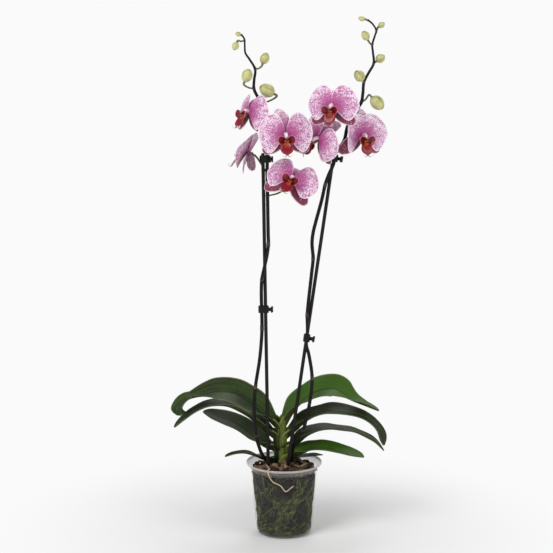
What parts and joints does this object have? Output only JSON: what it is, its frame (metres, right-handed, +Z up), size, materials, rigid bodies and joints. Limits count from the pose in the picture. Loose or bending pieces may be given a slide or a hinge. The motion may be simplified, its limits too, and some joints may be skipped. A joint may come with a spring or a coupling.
{
  "type": "potted moth orchid",
  "caption": "Potted moth orchid with arching leaves, open pink blooms and buds on tall staked flower spikes, in a clear round growing pot of bark and roots.",
  "frame": {"origin": "centre of the pot's underside, on the surface that it stands on", "axes": "+Z up along the pot's axis and the flower spikes, +X to the right as the blooms are seen, -Y to the front"},
  "size_m": [0.3353, 0.1513, 0.8115],
  "materials": {
    "pot": "gloss",
    "bark": "matte",
    "root": "satin",
    "aerial_root": "matte",
    "crown": "satin",
    "leaf": "satin",
    "stake": "satin",
    "spike": "satin",
    "clip": "satin",
    "petal": "satin",
    "lip": "satin",
    "bud": "satin"
  },
  "bodies": {
    "root": {"pot": "pot", "bark_mix": "bark", "roots": "root", "aerial_root": "aerial_root", "crown": "crown", "leaf_left_1": "leaf", "leaf_left_2": "leaf", "leaf_left_3": "leaf", "leaf_left_4": "leaf", "leaf_right_1": "leaf", "leaf_right_2": "leaf", "leaf_right_3": "leaf", "leaf_right_4": "leaf", "leaf_right_5": "leaf", "stake_left": "stake", "stake_right": "stake", "spike_left": "spike", "spike_right": "spike", "clip_left_low": "clip", "clip_left_high": "clip", "clip_right_low": "clip", "clip_right_high": "clip", "bloom_left_1": "petal", "bloom_left_2": "petal", "bloom_left_3": "petal", "bloom_left_4": "petal", "bloom_right_1": "petal", "bloom_right_2": "petal", "bloom_right_3": "petal", "lip_left_1": "lip", "lip_left_2": "lip", "lip_left_3": "lip", "lip_left_4": "lip", "lip_right_1": "lip", "lip_right_2": "lip", "lip_right_3": "lip", "bud_left_1": "bud", "bud_left_2": "bud", "bud_left_3": "bud", "bud_left_4": "bud", "bud_left_5": "bud", "bud_right_1": "bud", "bud_right_2": "bud", "bud_right_3": "bud", "bud_right_4": "bud", "bud_right_5": "bud", "bud_right_6": "bud"}
  },
  "joints": []
}
